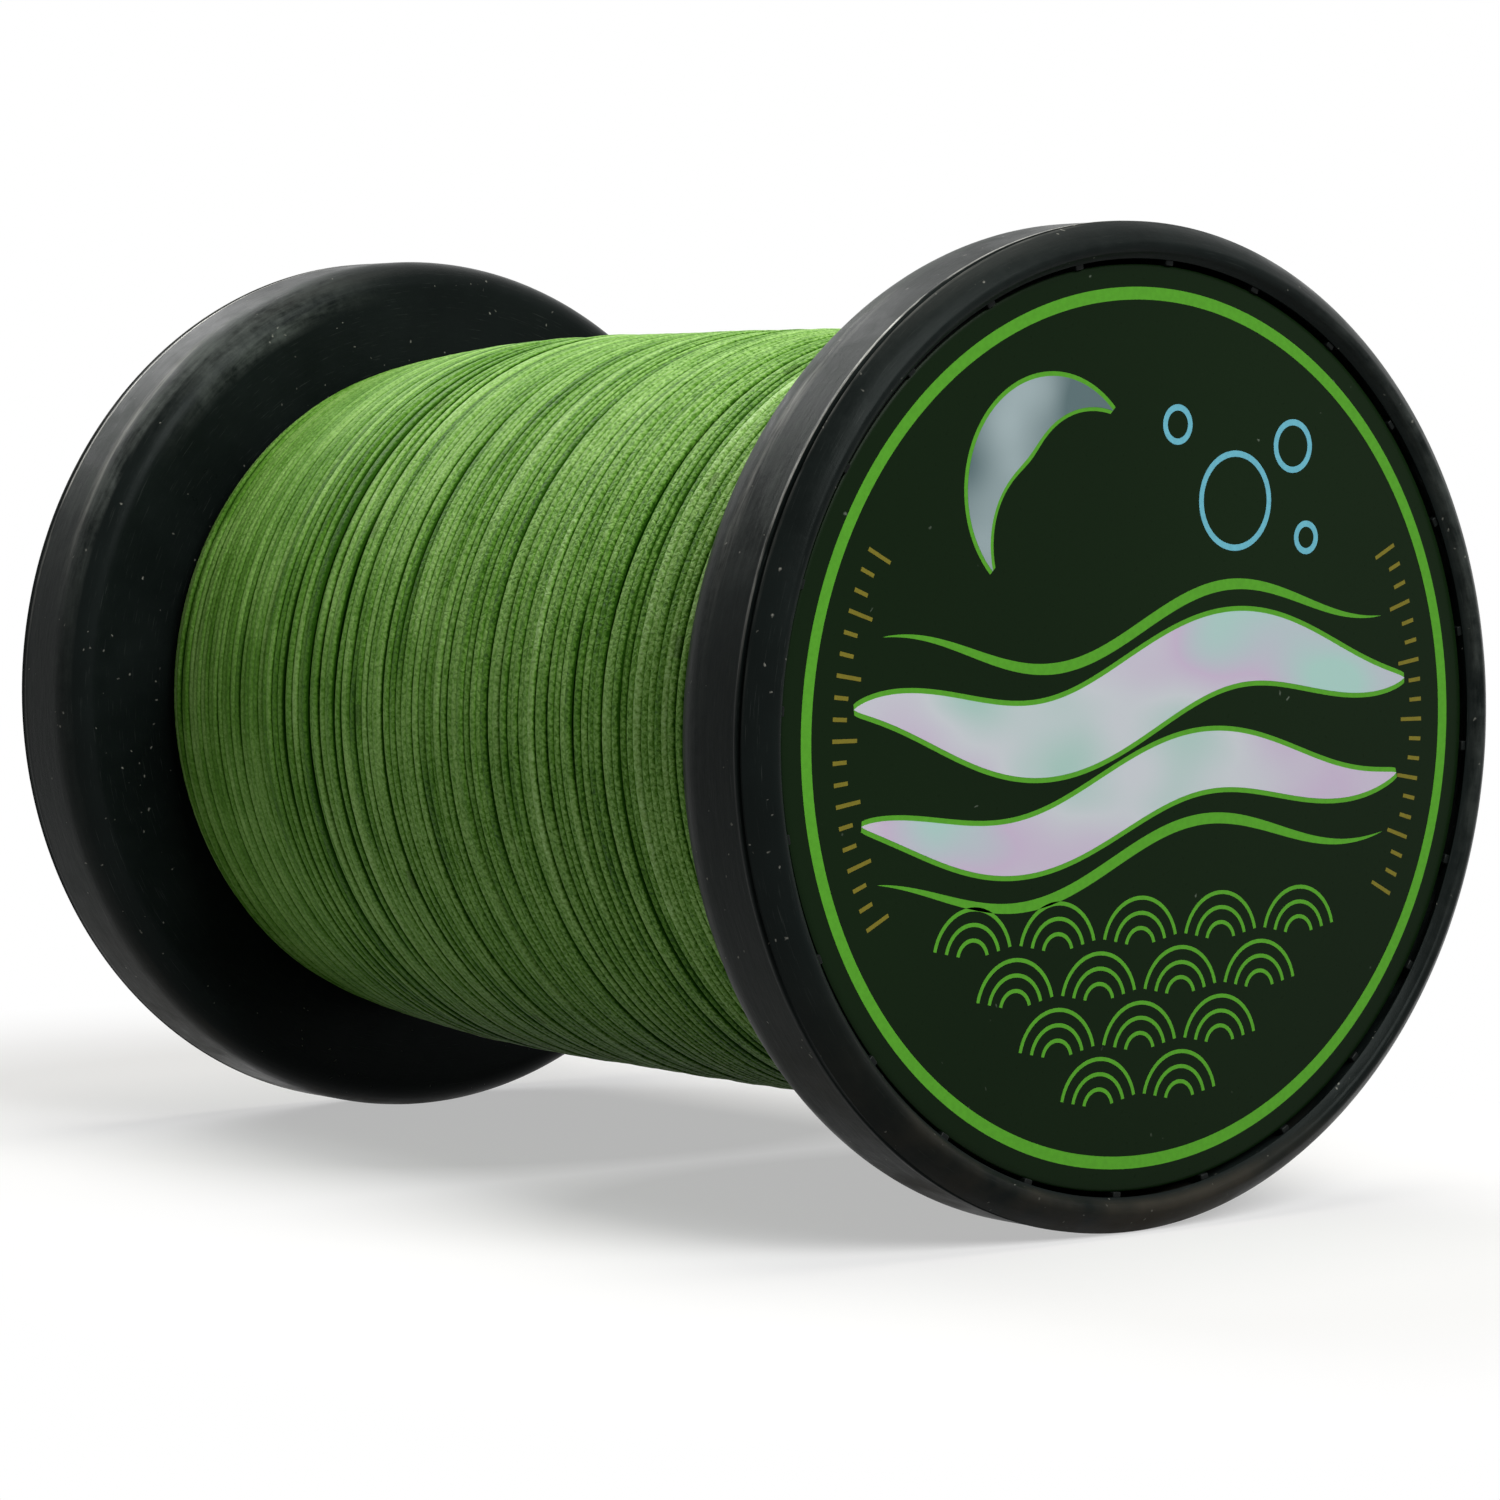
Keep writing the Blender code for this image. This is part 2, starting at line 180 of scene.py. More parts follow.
# Irregularities of the turns: pairs of (turns between knots, size)
LIFT_WAVES = ((0.9, 0.085 * MM), (0.13, 0.02 * MM))
SWAY_WAVES = ((0.7, 0.19 * MM), (0.11, 0.03 * MM))
SHADE_WAVES = ((0.8, 0.11), (0.05, 0.10))
EDGE_SHADE_WAVES = ((0.6, 0.24),)
MEAN_SHADE = 0.5
MEAN_EDGE_SHADE = 0.40                 # how much painted shade darkens the line's edges, where the turns meet
MOST_EDGE_SHADE = 0.9
# Gaps between some turns, darkened with painted shade
GROOVE_SPACING = (1.9, 4.8)     # millimetres
GROOVE_MARGINS = (1.5 * MM, 1.0 * MM)
GROOVE_WANDER = 0.9 * MM
GROOVE_REACH = 1.1 * MM
GROOVE_PUSH = 0.30 * MM
GROOVE_SINK = 0.12 * MM
UNDER_SINK = 0.95 * LINE_THICKNESS + 0.10 * MM      # of the layer under the turns
UNDER_THICKNESS = 8.0 * MM
UNDER_ROWS = 72

# Print, in metres
RING_OUTER = 43.4 * MM
RING_INNER = 42.15 * MM
INK_RISE = 0.02 * MM
OUTLINE_WIDTH = 0.5 * MM
# Print, in millimetres. Waves: height, swing, reach, half width, phase
RIBBONS = ((3.6, 3.0, 37.0, 3.9, 0.0), (-6.8, 2.6, 36.0, 3.0, 0.5))
THIN_WAVES = ((10.2, 2.8, 33.5, 0.55, 0.0), (-12.6, 2.6, 34.0, 0.55, 0.5))
WAVE_PERIODS = 1.5
WAVE_LEAN = 0.10
WAVE_POINTS = 180
TAPER_ROUNDNESS = 2.2
TAPER_POWER = 0.75
TAPER_LEAST = 0.0004                        # share of the width left at the very tip
SCALLOP_PITCH = (11.0, 5.2)
SCALLOP_TOP = -21.5
SCALLOP_RADII = (1.9, 3.4, 4.9)
SCALLOP_HALF_LINE = 0.2
SCALLOP_SPAN = (12, 168)                    # degrees
SCALLOP_POINTS = 24
SCALLOP_ROWS = 4
SCALLOP_MARGIN = 4.0
SCALLOP_REACH = 39.0
CRESCENT = ((-12.0, 23.5), 11.0, 6.4)       # centre, radius, greatest thickness
CRESCENT_BORDER = 0.45
CRESCENT_SPAN = (45.0, 225.0)               # degrees
CRESCENT_TIP = 0.05
CRESCENT_POINTS = 90
BUBBLES = ((12.5, 22.5, 5.0), (20.5, 28.0, 2.7), (4.5, 30.0, 2.0), (22.5, 18.8, 1.7))
BUBBLE_LINE = 0.62
BUBBLE_POINTS = 48
TICK_OUTER = 39.6
TICK_LENGTHS = (3.0, 1.7)
TICK_REACH = 9                              # ticks to either side of the middle one
TICK_STEP = 3.0                             # degrees
TICK_HALF_TURN = 0.3                        # degrees

# Colours
PLATE_BLACK = (0.0050, 0.0064, 0.0060)
COVER_BLACK = (0.006, 0.0065, 0.0065)
INNER_BLACK = (0.010, 0.0105, 0.011)
RIM_BLACKS = ((0.0042, 0.0062, 0.0058), (0.0075, 0.0106, 0.0100))
# Scuffs, lightened further where the marks also hold a painted highlight.
RIM_WORN_AND_LIT = (0.092, 0.104, 0.096)
# Painted highlight for the flash line.
RIM_FLASH_HIGHLIGHT = (0.80, 0.80, 0.74)
# Lighter brownish patches low on the nose and side.
RIM_LOW_PATCH = (0.040, 0.035, 0.027)
RIM_DUST = (0.32, 0.32, 0.28)
LINE_COLOURS = [(0.0, (0.026, 0.098, 0.006)), (0.30, (0.116, 0.296, 0.032)),
                (0.6, (0.318, 0.575, 0.146)), (1.0, (0.600, 0.900, 0.390))]
# Painted shade: the deeper layers of line are coloured far darker than the outer turns.
SHADED_UNDER_LINE_COLOURS = [(0.3, (0.003, 0.020, 0.001)), (0.7, (0.012, 0.070, 0.003))]
FILM_COLOURS = [(0.3, (0.0036, 0.0110, 0.0030)), (0.7, (0.0060, 0.0170, 0.0046))]
FILM_DUST = (0.13, 0.16, 0.12)
FOIL_COLOURS = [(0.30, (0.36, 0.60, 0.52)), (0.45, (0.62, 0.66, 0.70)),
                (0.60, (0.60, 0.50, 0.66)), (0.75, (0.42, 0.66, 0.60))]
SILVER_COLOURS = [(0.35, (0.10, 0.16, 0.17)), (0.65, (0.40, 0.50, 0.52))]
GREEN_INK = (0.095, 0.36, 0.025)
GOLD_INK = (0.20, 0.17, 0.02)
BLUE_INK = (0.16, 0.50, 0.62)
PAPER = (0.62, 0.53, 0.36)

# Light and floor
AMBIENT = 0.025                             # strength of the world as a light
LAMP_DISTANCE = 1.5
LAMP_SIZE = 0.9
# Name, direction, radiance of the lamp's face, colour
LAMPS = (
    ("front", (0.0, -0.77, 0.64), 8.6, (1.0, 1.0, 1.0)),
    ("back", (0.0, 0.77, 0.64), 3.8, (1.0, 1.0, 1.0)),
    ("top", (0.12, 0.0, 1.0), 3.6, (1.0, 0.96, 0.88)),
)
FLOOR_REACH = 6.0
FLOOR_COLOUR = (0.90, 0.90, 0.90)
FLOOR_BOUNCE = (0.06, 0.06, 0.06)           # colour that lights the spool from below
FLOOR_BOUNCE_LEFT = (0.50, 0.50, 0.50)      # the same in a strip on the left
LEFT_STRIP_NEAR = (-0.045, -0.075)          # X where the brighter strip fades in
LEFT_STRIP_FAR = (-0.20, -0.10)             # X where it has gone, and where it is full
FLANGE_FOOT = OUTER_PLANE - 6.0 * MM
# White glow of the seen floor: this share near the flanges' feet, all of it far from them
FLOOR_SHARE = 0.46
FLOOR_NEAR = 0.055
FLOOR_FAR = 0.115

# Camera, fitted to the photograph's outlines
CAMERA_AZIMUTH = math.radians(-38.43)
CAMERA_ELEVATION = math.radians(2.65)
CAMERA_DISTANCE = 525.4 * MM
CAMERA_PAN = math.radians(0.296)
CAMERA_TILT = math.radians(-0.552)
CAMERA_ROLL = math.radians(0.225)
CAMERA_LENS = 115.59
SENSOR_WIDTH = 36.0


# ---------------------------------------------------------------- camera

def make_camera():
    """Camera at the photograph's place, a little turned off the spool's centre."""
    back = Vector((math.sin(CAMERA_AZIMUTH) * math.cos(CAMERA_ELEVATION),
                   -math.cos(CAMERA_AZIMUTH) * math.cos(CAMERA_ELEVATION),
                   math.sin(CAMERA_ELEVATION)))
    level_right = Vector((0.0, 0.0, 1.0)).cross(back).normalized()
    level_up = back.cross(level_right)
    right = level_right * math.cos(CAMERA_ROLL) + level_up * math.sin(CAMERA_ROLL)
    up = level_up * math.cos(CAMERA_ROLL) - level_right * math.sin(CAMERA_ROLL)
    forward = right * math.sin(CAMERA_PAN) - back * math.cos(CAMERA_PAN)
    right = right * math.cos(CAMERA_PAN) + back * math.sin(CAMERA_PAN)
    aim = forward * math.cos(CAMERA_TILT) + up * math.sin(CAMERA_TILT)
    up = up * math.cos(CAMERA_TILT) - forward * math.sin(CAMERA_TILT)
    data = bpy.data.cameras.new("camera")
    data.lens = CAMERA_LENS
    data.sensor_width = SENSOR_WIDTH
    data.clip_start = 10 * MM
    camera = bpy.data.objects.new("camera", data)
    turn = Matrix((right, up, -aim)).transposed().to_4x4()
    camera.matrix_world = Matrix.Translation(back * CAMERA_DISTANCE) @ turn
    bpy.context.scene.collection.objects.link(camera)
    bpy.context.scene.camera = camera


# ---------------------------------------------------------------- node helpers

class Nodes:
    """Short way to build the node tree of a material or a world."""

    def __init__(self, owner):
        owner.use_nodes = True
        self.tree = owner.node_tree

    def new(self, kind, **settings):
        """Add a node and set its properties."""
        node = self.tree.nodes.new(kind)
        for key, value in settings.items():
            setattr(node, key, value)
        return node

    def link(self, source, target):
        self.tree.links.new(source, target)

    def feed(self, node, values):
        """Give a node's inputs in turn; each value is a number or a socket."""
        for socket, value in zip(node.inputs, values):
            if isinstance(value, (int, float)):
                socket.default_value = value
            else:
                self.link(value, socket)

    def place(self, scale=(1.0, 1.0, 1.0)):
        """Object coordinates, stretched by a scale on each axis."""
        coordinates = self.new("ShaderNodeTexCoord")
        mapping = self.new("ShaderNodeMapping")
        mapping.inputs["Scale"].default_value = scale
        self.link(coordinates.outputs["Object"], mapping.inputs["Vector"])
        return mapping.outputs["Vector"]

    def value(self, name):
        """A number stored on the mesh."""
        return self.new("ShaderNodeAttribute", attribute_name=name).outputs["Fac"]

    def join(self, first, second, third):
        """Vector from three numbers or sockets."""
        node = self.new("ShaderNodeCombineXYZ")
        self.feed(node, (first, second, third))
        return node.outputs["Vector"]

    def noise_node(self, vector, scale, detail=2.0, roughness=0.5, dimensions="3D"):
        node = self.new("ShaderNodeTexNoise", noise_dimensions=dimensions)
        for key, number in (("Scale", scale), ("Detail", detail), ("Roughness", roughness)):
            node.inputs[key].default_value = number
        self.link(vector, node.inputs["Vector"])
        return node

    def noise(self, vector, scale, detail=2.0, roughness=0.5):
        return self.noise_node(vector, scale, detail, roughness).outputs["Fac"]

    def rim_noise(self, around, across, detail=3.0, roughness=0.6):
        """Noise drawn out round the spool's axis, without a seam.

        around sets how often it changes in a turn, across how often in a millimetre.
        """
        x, y, z = self.parts(self.place())
        radius = self.length(self.join(x, 0.0, z))
        way_x = self.math("DIVIDE", x, radius)
        way_z = self.math("DIVIDE", z, radius)
        along = self.mul(y, across / MM)
        place = self.join(self.mul(way_x, around), along, self.mul(way_z, around))
        node = self.noise_node(place, 1.0, detail, roughness, "4D")
        self.link(self.mul(radius, across / MM), node.inputs["W"])
        return node.outputs["Fac"]

    def math(self, operation, first, second=0.0, third=0.0, clamp=False):
        """One Math node; each input is a number or a socket."""
        node = self.new("ShaderNodeMath", operation=operation, use_clamp=clamp)
        self.feed(node, (first, second, third))
        return node.outputs[0]

    def ramp(self, factor, stops):
        """Colour ramp with stops of (place, colour)."""
        node = self.new("ShaderNodeValToRGB")
        while len(node.color_ramp.elements) < len(stops):
            node.color_ramp.elements.new(0.5)
        for element, (place, colour) in zip(node.color_ramp.elements, stops):
            element.position = place
            element.color = (*colour, 1.0)
        self.link(factor, node.inputs["Fac"])
        return node.outputs["Color"]

    def add(self, first, second):
        return self.math("ADD", first, second)

    def sub(self, first, second):
        return self.math("SUBTRACT", first, second)

    def mul(self, first, second):
        return self.math("MULTIPLY", first, second)

    def most(self, first, second):
        return self.math("MAXIMUM", first, second)

    def seen_directly(self):
        """1 for rays from the camera and for those that it sees mirrored or through glass."""
        path = self.new("ShaderNodeLightPath").outputs
        seen = self.most(path["Is Camera Ray"], path["Is Glossy Ray"])
        return self.most(seen, path["Is Transmission Ray"])

    def length(self, vector):
        node = self.new("ShaderNodeVectorMath", operation="LENGTH")
        self.link(vector, node.inputs[0])
        return node.outputs["Value"]

    def parts(self, vector):
        """X, Y and Z of a vector."""
        node = self.new("ShaderNodeSeparateXYZ")
        self.link(vector, node.inputs["Vector"])
        return node.outputs

    def range(self, value, low, high, to_low=0.0, to_high=1.0):
        """Clamped map from one range to another."""
        node = self.new("ShaderNodeMapRange")
        for key, number in (("From Min", low), ("From Max", high),
                            ("To Min", to_low), ("To Max", to_high)):
            node.inputs[key].default_value = number
        self.link(value, node.inputs["Value"])
        return node.outputs["Result"]

    def mix(self, factor, first, second):
        """Blend two colours; each is a tuple or a socket."""
        node = self.new("ShaderNodeMix", data_type="RGBA")
        self.link(factor, node.inputs["Factor"])
        for socket, value in ((node.inputs[6], first), (node.inputs[7], second)):
            if isinstance(value, tuple):
                socket.default_value = (*value, 1.0)
            else:
                self.link(value, socket)
        return node.outputs[2]


class MaterialNodes(Nodes):
    """Node tree of a new material round its Principled BSDF."""

    def __init__(self, name):
        self.material = bpy.data.materials.new(name)
        super().__init__(self.material)
        self.shader = self.tree.nodes["Principled BSDF"]

    def set(self, **values):
        """Set constants on the shader's own sockets."""
        for key, value in values.items():
            self.shader.inputs[key.replace("_", " ")].default_value = value

    def drive(self, **sources):
        """Link nodes to the shader's own sockets."""
        for key, source in sources.items():
            self.link(source, self.shader.inputs[key.replace("_", " ")])

    def bump(self, height, distance, strength=1.0):
        node = self.new("ShaderNodeBump")
        node.inputs["Distance"].default_value = distance
        node.inputs["Strength"].default_value = strength
        self.link(height, node.inputs["Height"])
        self.drive(Normal=node.outputs["Normal"])


# ---------------------------------------------------------------- materials

def dust_mask(n, spread, amount):
    """Sparse small specks and short fibres of dust."""
    place = n.place()
    bent = n.new("ShaderNodeVectorMath", operation="MULTIPLY_ADD")
    n.link(n.noise_node(place, 900.0).outputs["Color"], bent.inputs[0])
    bent.inputs[1].default_value = (1.1 * MM,) * 3
    n.link(place, bent.inputs[2])
    specks = n.new("ShaderNodeTexVoronoi")
    specks.inputs["Scale"].default_value = spread
    n.link(bent.outputs["Vector"], specks.inputs["Vector"])
    chosen = n.math("GREATER_THAN", n.noise(place, 0.4 * spread, 1.0), amount)
    near = n.range(specks.outputs["Distance"], 0.03, 0.13, 1.0, 0.0)
    return n.mul(near, chosen)


def black_plastic(name, base, roughness, specular):
    """Plain moulded black plastic with a fine grain."""
    n = MaterialNodes(name)
    n.set(Metallic=0.0, Specular_IOR_Level=specular)
    place = n.place()
    rubbed = n.noise(place, 55.0, 4.0, 0.6)
    fine = n.noise(place, 900.0, 2.0)
    n.drive(Base_Color=n.mix(n.range(rubbed, 0.35, 0.75), base, tuple(1.6 * c for c in base)),
            Roughness=n.range(rubbed, 0.3, 0.7, roughness - 0.05, roughness + 0.08))
    n.bump(n.add(n.mul(rubbed, 0.5), n.mul(fine, 0.06)), GRAIN_HEIGHT, 0.5)
    return n.material


def rim_plastic():
    """Black flange plastic: scuffs, dust and lighter brownish patches low on the nose, with
    painted highlights on the upper left and along the flash line, and a painted reflection on the
    nose's right.
    """
    n = MaterialNodes("spool_plastic")
    n.set(Metallic=0.0, Specular_IOR_Level=0.05, Specular_Tint=(0.90, 1.0, 0.97, 1.0))
    place = n.place()
    wear = n.value("wear")
    flash = n.value("flash")
    grime = n.value("grime")
    cloud = n.noise(place, 70.0, 4.0, 0.6)
    fine = n.noise(place, 1300.0, 2.0)
    along = n.rim_noise(9.0, 1.6, 3.0, 0.65)
    hair_lines = n.rim_noise(12.0, 8.0, 2.0, 0.7)
    streaks = n.range(along, 0.40, 0.68)
    scuffs = n.range(n.noise(place, 240.0, 5.0, 0.72), 0.40, 0.66)
    scratches = n.range(hair_lines, 0.62, 0.72)
    dust = dust_mask(n, 760.0, 0.55)
    # Scuffs and streaks where the marks put them; this also carries the painted highlights on the
    # upper left and the painted reflection on the nose's right.
    worn_and_lit = n.math("MULTIPLY_ADD", streaks, 0.60, n.mul(scuffs, 0.70))
    worn_and_lit = n.math("MULTIPLY", wear, worn_and_lit, clamp=True)
    worn_and_lit = n.most(worn_and_lit, n.mul(scratches, 0.20))
    tone = n.mix(n.range(cloud, 0.35, 0.75), *RIM_BLACKS)
    tone = n.mix(worn_and_lit, tone, RIM_WORN_AND_LIT)
    # Painted highlight along the flash line, its edge on the nose and the bend.
    tone = n.mix(n.mul(flash, n.range(along, 0.34, 0.60)), tone, RIM_FLASH_HIGHLIGHT)
    # Lighter brownish patches low on the nose and side.
    patches = n.mul(grime, n.range(cloud, 0.42, 0.66))
    tone = n.mix(patches, tone, RIM_LOW_PATCH)
    tone = n.mix(n.mul(dust, 0.7), tone, RIM_DUST)
    rough = n.range(cloud, 0.3, 0.7, 0.26, 0.35)
    rough = n.math("MULTIPLY_ADD", scuffs, 0.10, rough)
    rough = n.add(rough, n.mul(n.most(worn_and_lit, patches), 0.22))
    n.drive(Base_Color=tone, Roughness=rough)
    height = n.add(n.mul(cloud, 0.45), n.mul(fine, 0.05))
    height = n.add(height, n.mul(streaks, 0.16))
    height = n.add(height, n.mul(scuffs, 0.24))
    height = n.add(height, n.mul(dust, 0.15))
    n.bump(height, GRAIN_HEIGHT, 0.5)
    return n.material


def braid_material():
    """Green braided line: crossing yarns on each turn, streaks from turn to turn, and painted
    shade at each turn's edges and along the open grooves.
    """
    n = MaterialNodes("braided_line")
    n.set(Metallic=0.0, Roughness=0.5, Specular_Tint=(1.0, 1.0, 0.85, 1.0))
    along = n.value("along")
    across = n.value("across")
    shade = n.value("shade")
    edge_shade = n.value("edge_shade")
    place = n.place()
    crisp = n.range(n.parts(place)["Y"], *YARN_FADE)
    start = n.add(along, n.mul(n.sub(n.noise(place, 900.0, 2.0), 0.5), 2.0))
    lean = n.mul(across, 0.30)
    first = n.math("SINE", n.mul(n.add(start, lean), YARN_PITCHES[0]))
    second = n.math("SINE", n.mul(n.sub(start, lean), YARN_PITCHES[1]))
    yarns = n.most(first, n.mul(second, 0.85))
    yarn_height = n.range(yarns, -0.6, 1.0)
    flat = n.mul(across, across)
    edge = n.mul(flat, flat)
    blotch = n.noise(place, 160.0, 3.0, 0.6)
    grain = n.sub(n.noise(place, 2300.0, 3.0, 0.75), 0.5)
    detail = n.add(n.mul(yarn_height, 0.24), n.mul(grain, 1.2))
    tone = n.add(n.mul(detail, crisp), n.mul(shade, 0.66))
    tone = n.add(tone, n.mul(n.sub(blotch, 0.5), 0.35))
    # Painted shade: the edges of each turn, where it meets the next, are darkened.
    tone = n.sub(tone, n.mul(edge, edge_shade))
    n.drive(Base_Color=n.ramp(tone, LINE_COLOURS),
            Specular_IOR_Level=n.range(flat, 0.0, 0.8, 0.09, 0.0))
    height = n.add(n.mul(yarn_height, 0.6), n.mul(grain, 0.6))
    n.bump(n.mul(height, crisp), 0.10 * MM, 1.0)
    return n.material


def under_line_material():
    """Deeper layers of line, seen only between the outer turns, coloured far darker than the line
    as painted shade.
    """
    n = MaterialNodes("line_under_layer")
    n.set(Metallic=0.0, Roughness=0.8, Specular_IOR_Level=0.0)
    streak = n.noise(n.place((120.0, 2400.0, 120.0)), 1.0, 3.0)
    n.drive(Base_Color=n.ramp(streak, SHADED_UNDER_LINE_COLOURS))
    n.bump(streak, 0.2 * MM, 0.6)
    return n.material


def film_material():
    """Near-black green printed film with a slow change of tone and a little dust."""
    n = MaterialNodes("label_film")
    n.set(Metallic=0.0, Specular_IOR_Level=0.045)
    place = n.place()
    slow = n.noise(place, 11.0, 2.0)
    fine = n.noise(place, 1500.0, 2.0)
    dust = dust_mask(n, 500.0, 0.66)
    n.drive(Base_Color=n.mix(dust, n.ramp(slow, FILM_COLOURS), FILM_DUST),
            Roughness=n.range(fine, 0.3, 0.7, 0.27, 0.33))
    n.bump(n.add(n.mul(slow, 0.8), n.mul(fine, 0.05)),
           0.3 * MM, 0.25)
    return n.material


def ink_material(name, colour, roughness=0.4):
    """Plain printing ink, with a fine grain."""
    n = MaterialNodes(name)
    n.set(Metallic=0.0, Specular_IOR_Level=0.12, Roughness=roughness)
    grain = n.noise(n.place(), 1800.0, 2.0)
    n.drive(Base_Color=n.mix(n.range(grain, 0.35, 0.65), tuple(0.95 * c for c in colour),
                             tuple(min(1.0, 1.05 * c) for c in colour)))
    return n.material


def shaded_ink(name, scale, stops):
    """Ink whose colour drifts across the print, for foil and graded shapes."""
    n = MaterialNodes(name)
    n.set(Metallic=0.0, Specular_IOR_Level=0.3, Roughness=0.38)
    n.drive(Base_Color=n.ramp(n.noise(n.place(scale), 1.0, 1.5, 0.5), stops))
    return n.material


# ---------------------------------------------------------------- mesh helpers

def finish_mesh(name, mesh, material, body, sharp=SHARP_ANGLE):
    """Shade a mesh, dress it and hang it on its CAD body."""
    shape = bmesh.new()
    shape.from_mesh(mesh)
    bmesh.ops.recalc_face_normals(shape, faces=shape.faces)
    shape.to_mesh(mesh)
    shape.free()
    mesh.shade_smooth()
    mesh.set_sharp_from_angle(angle=sharp)
    mesh.materials.append(material)
    piece = bpy.data.objects.new(name, mesh)
    bpy.context.scene.collection.objects.link(piece)
    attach(piece, body)
    return piece


def grid_faces(rows, columns, closed=True):
    """Quads between rows of points, closed from column to column and maybe from row to row."""
    spans = rows if closed else rows - 1
    row, column = np.meshgrid(np.arange(spans), np.arange(columns), indexing="ij")
    next_row = (row + 1) % rows
    next_column = (column + 1) % columns
    quads = np.stack([row * columns + column, row * columns + next_column,
                      next_row * columns + next_column, next_row * columns + column], axis=-1)
    return quads.reshape(-1, 4).tolist()


def build_mesh(name, points, faces):
    mesh = bpy.data.meshes.new(name)
    mesh.from_pydata(points, [], faces)
    return mesh


def turned_mesh(name, outline, side, reshape=None, marks=None):
    """Closed outline of (radius, depth) points turned round the spool's axis at one end.

    reshape(radius, depth, angle) may change the radius, for marks that come and go round the rim.
    marks(radius, depth, angle) gives numbers to keep on the points for the material.
    """
    outline = np.array(outline)
    angle = math.tau * np.arange(ROUND_STEPS) / ROUND_STEPS
    radius = np.repeat(outline[:, :1], ROUND_STEPS, axis=1)
    depth = np.repeat(outline[:, 1:], ROUND_STEPS, axis=1)
    if reshape is not None:
        radius = reshape(radius, depth, angle[None, :])
    points = np.stack([radius * np.cos(angle), side * (OUTER_PLANE - depth),
                       radius * np.sin(angle)], axis=-1).reshape(-1, 3)
    mesh = build_mesh(name, points.tolist(), grid_faces(len(outline), ROUND_STEPS))
    if marks is not None:
        for key, values in marks(radius, depth, angle[None, :]).items():
            store(mesh, key, np.broadcast_to(values, radius.shape).ravel())
    return mesh


def store(mesh, name, values):
    """Keep one number for each of a mesh's points, for its material."""
    mesh.attributes.new(name, "FLOAT", "POINT").data.foreach_set("value", values)


def arc(centre_radius, centre_depth, wide, deep, start, stop, count):
    """Points on an ellipse arc in the section; 0 degrees is outwards, 90 the outer plane."""
    return [(centre_radius + wide * math.cos(a), centre_depth - deep * math.sin(a))
            for a in np.radians(np.linspace(start, stop, count))]


# ---------------------------------------------------------------- flanges

def rim_outline():
    """Outer part of the section, from the lip round the nose and the side to the inner face."""
    outline = arc(RIM_INNER_RADIUS + LIP_ROUND, LIP_DEPTH, LIP_ROUND, 0.8 * LIP_ROUND, 180, 110, 4)
    outline += arc(SIDE_RADIUS - CREST_INSET, CREST_ROUND, CREST_SPREAD, CREST_ROUND, 150, 62, 8)
    start_radius, start_depth = outline[-1]
    for share in np.linspace(0.08, 1.0, 10):
        bulge = NOSE_BULGE * math.sin(math.pi * share)
        outline.append((start_radius + share * (SIDE_RADIUS - start_radius) + bulge,
                        start_depth + share * (NOSE_DEPTH - start_depth) - bulge))
    outline += [(SIDE_RADIUS - deep * GROOVE_DEPTH, NOSE_DEPTH + wide * GROOVE_WIDTH)
                for deep, wide in GROOVE_SECTION]
    groove_end = NOSE_DEPTH + GROOVE_WIDTH
    outline.append((SIDE_RADIUS, groove_end))
    outline += [(FLANGE_RADIUS, groove_end + beyond) for beyond in FLASH_SPAN]
    outline += [(SIDE_RADIUS, groove_end + beyond) for beyond in FLASH_FOOT]
    shoulder = RIM_DEPTH - SHOULDER_DEPTH
    outline += [(SIDE_RADIUS, depth)
                for depth in np.linspace(SIDE_START, shoulder - EDGE_ROUND, 5)]
    outline += arc(SIDE_RADIUS - SHOULDER_INSET, shoulder, SHOULDER_INSET,
                   SHOULDER_DEPTH, -4, -84, 14)
    outline.append((SIDE_RADIUS - SHOULDER_INSET - EDGE_ROUND, RIM_DEPTH))
    return outline


def flange_outline():
    """Whole section of the flange, closed through the bore and the web."""
    hub = BORE_RADIUS + HUB_WALL
    catch = CATCH_RING_RADIUS - CATCH_RING_WALL
    outline = rim_outline()
    outline += [(radius, RIM_DEPTH) for radius in np.linspace(*FACE_SPAN, 4)]
    outline += [
        (BORE_RADIUS + EDGE_ROUND, RIM_DEPTH),
        (BORE_RADIUS, RIM_DEPTH - EDGE_ROUND),
        (BORE_RADIUS, SEAT_DEPTH + EDGE_ROUND),
        (BORE_RADIUS + EDGE_ROUND, SEAT_DEPTH),
        (hub - EDGE_ROUND, SEAT_DEPTH),
        (hub, SEAT_DEPTH + EDGE_ROUND),
        (hub, WEB_OUTER_DEPTH - EDGE_ROUND),
        (hub + EDGE_ROUND, WEB_OUTER_DEPTH),
        (catch, WEB_OUTER_DEPTH),
        (catch, SEAT_DEPTH),
        (CATCH_RING_RADIUS, SEAT_DEPTH),
        (CATCH_RING_RADIUS, WEB_OUTER_DEPTH),
        (RIM_INNER_RADIUS, WEB_OUTER_DEPTH),
        (RIM_INNER_RADIUS, LIP_DEPTH + LIP_HEIGHT),
    ]
    return outline


def near_angle(angle, middle, spread):
    """1 at one place round the rim, falling smoothly to 0 a spread of degrees away."""
    away = np.abs((np.degrees(angle) - middle + 180.0) % 360.0 - 180.0)
    share = np.clip(1.0 - away / spread, 0.0, 1.0)
    return share * share * (3 - 2 * share)


